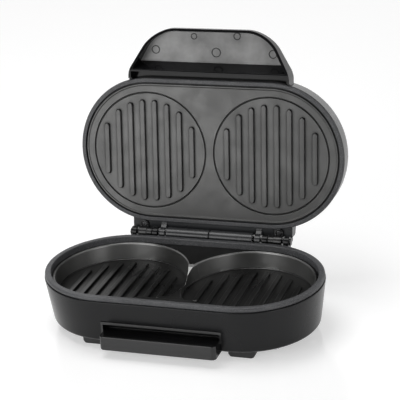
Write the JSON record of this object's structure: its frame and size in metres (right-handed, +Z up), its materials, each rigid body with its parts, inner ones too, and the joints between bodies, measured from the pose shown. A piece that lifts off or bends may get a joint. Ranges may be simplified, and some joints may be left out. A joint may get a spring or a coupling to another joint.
{
  "type": "double breakfast sandwich maker",
  "caption": "Racetrack-shaped electric sandwich maker with two round ridged wells in the base and a hinged flat ridged lid with a hollow front handle, stored open.",
  "frame": {"origin": "middle of the open object's outline at the level that the feet stand on", "axes": "+X along the body through both wells, +Y from the base handle to the hinge, +Z up"},
  "size_m": [0.2672, 0.216, 0.2545],
  "materials": {
    "shell_gloss": "gloss charcoal",
    "lid_gloss": "gloss charcoal",
    "rim_speckled": "matt, fine speckle",
    "handle_gloss": "gloss black",
    "cover_matte": "fine grain",
    "plate_lower": "dark non-stick coating",
    "plate_upper": "satin non-stick coating",
    "heater_sheath": "dulled by heat",
    "reflector": "bright sheet",
    "ceramic": "unglazed ceramic",
    "holder_white": "moulded",
    "fuse_case": "bright",
    "barrel_gloss": "gloss grey",
    "steel": "zinc plated",
    "arm_black": "gloss black",
    "lens_red": "clear red",
    "lens_green": "clear green",
    "foot_rubber": "matt"
  },
  "bodies": {
    "base": {"base_shell": "shell_gloss", "base_rim": "rim_speckled", "base_handle": "handle_gloss", "bottom_cover": "cover_matte", "lower_plate": "plate_lower", "lower_heater": "heater_sheath", "lower_reflector": "reflector", "lower_reflector_screws": "steel", "lower_plate_screws": "steel", "cover_screws": "steel", "foot_front_left": "foot_rubber", "foot_front_right": "foot_rubber", "foot_rear_left": "foot_rubber", "foot_rear_right": "foot_rubber", "foot_screws": "steel", "thermostat": "ceramic", "lower_thermal_fuse": "fuse_case", "terminal_block": "ceramic", "cord_gland": "cover_matte", "hinge_barrel_left": "barrel_gloss", "hinge_barrel_right": "barrel_gloss", "barrel_screws": "steel", "hinge_pin_left": "steel", "hinge_pin_right": "steel"},
    "lid": {"lid_shell": "lid_gloss", "lid_rim": "rim_speckled", "lid_handle": "handle_gloss", "handle_screws": "steel", "upper_plate": "plate_upper", "upper_heater": "heater_sheath", "upper_reflector": "reflector", "upper_reflector_screws": "steel", "upper_plate_screws": "steel", "lid_rim_screws": "steel", "upper_thermal_fuse": "fuse_case", "hinge_arm_left": "arm_black", "hinge_arm_right": "arm_black", "arm_screws": "steel", "power_lamp_lens": "lens_red", "ready_lamp_lens": "lens_green", "lamp_holder": "holder_white"}
  },
  "joints": [
    {"name": "lid_hinge", "type": "hinge", "parent": "base", "child": "lid", "pos_m": [0, 0.05696, 0.0535], "axis": [1, 0, 0], "range_deg": [0, 98]}
  ]
}
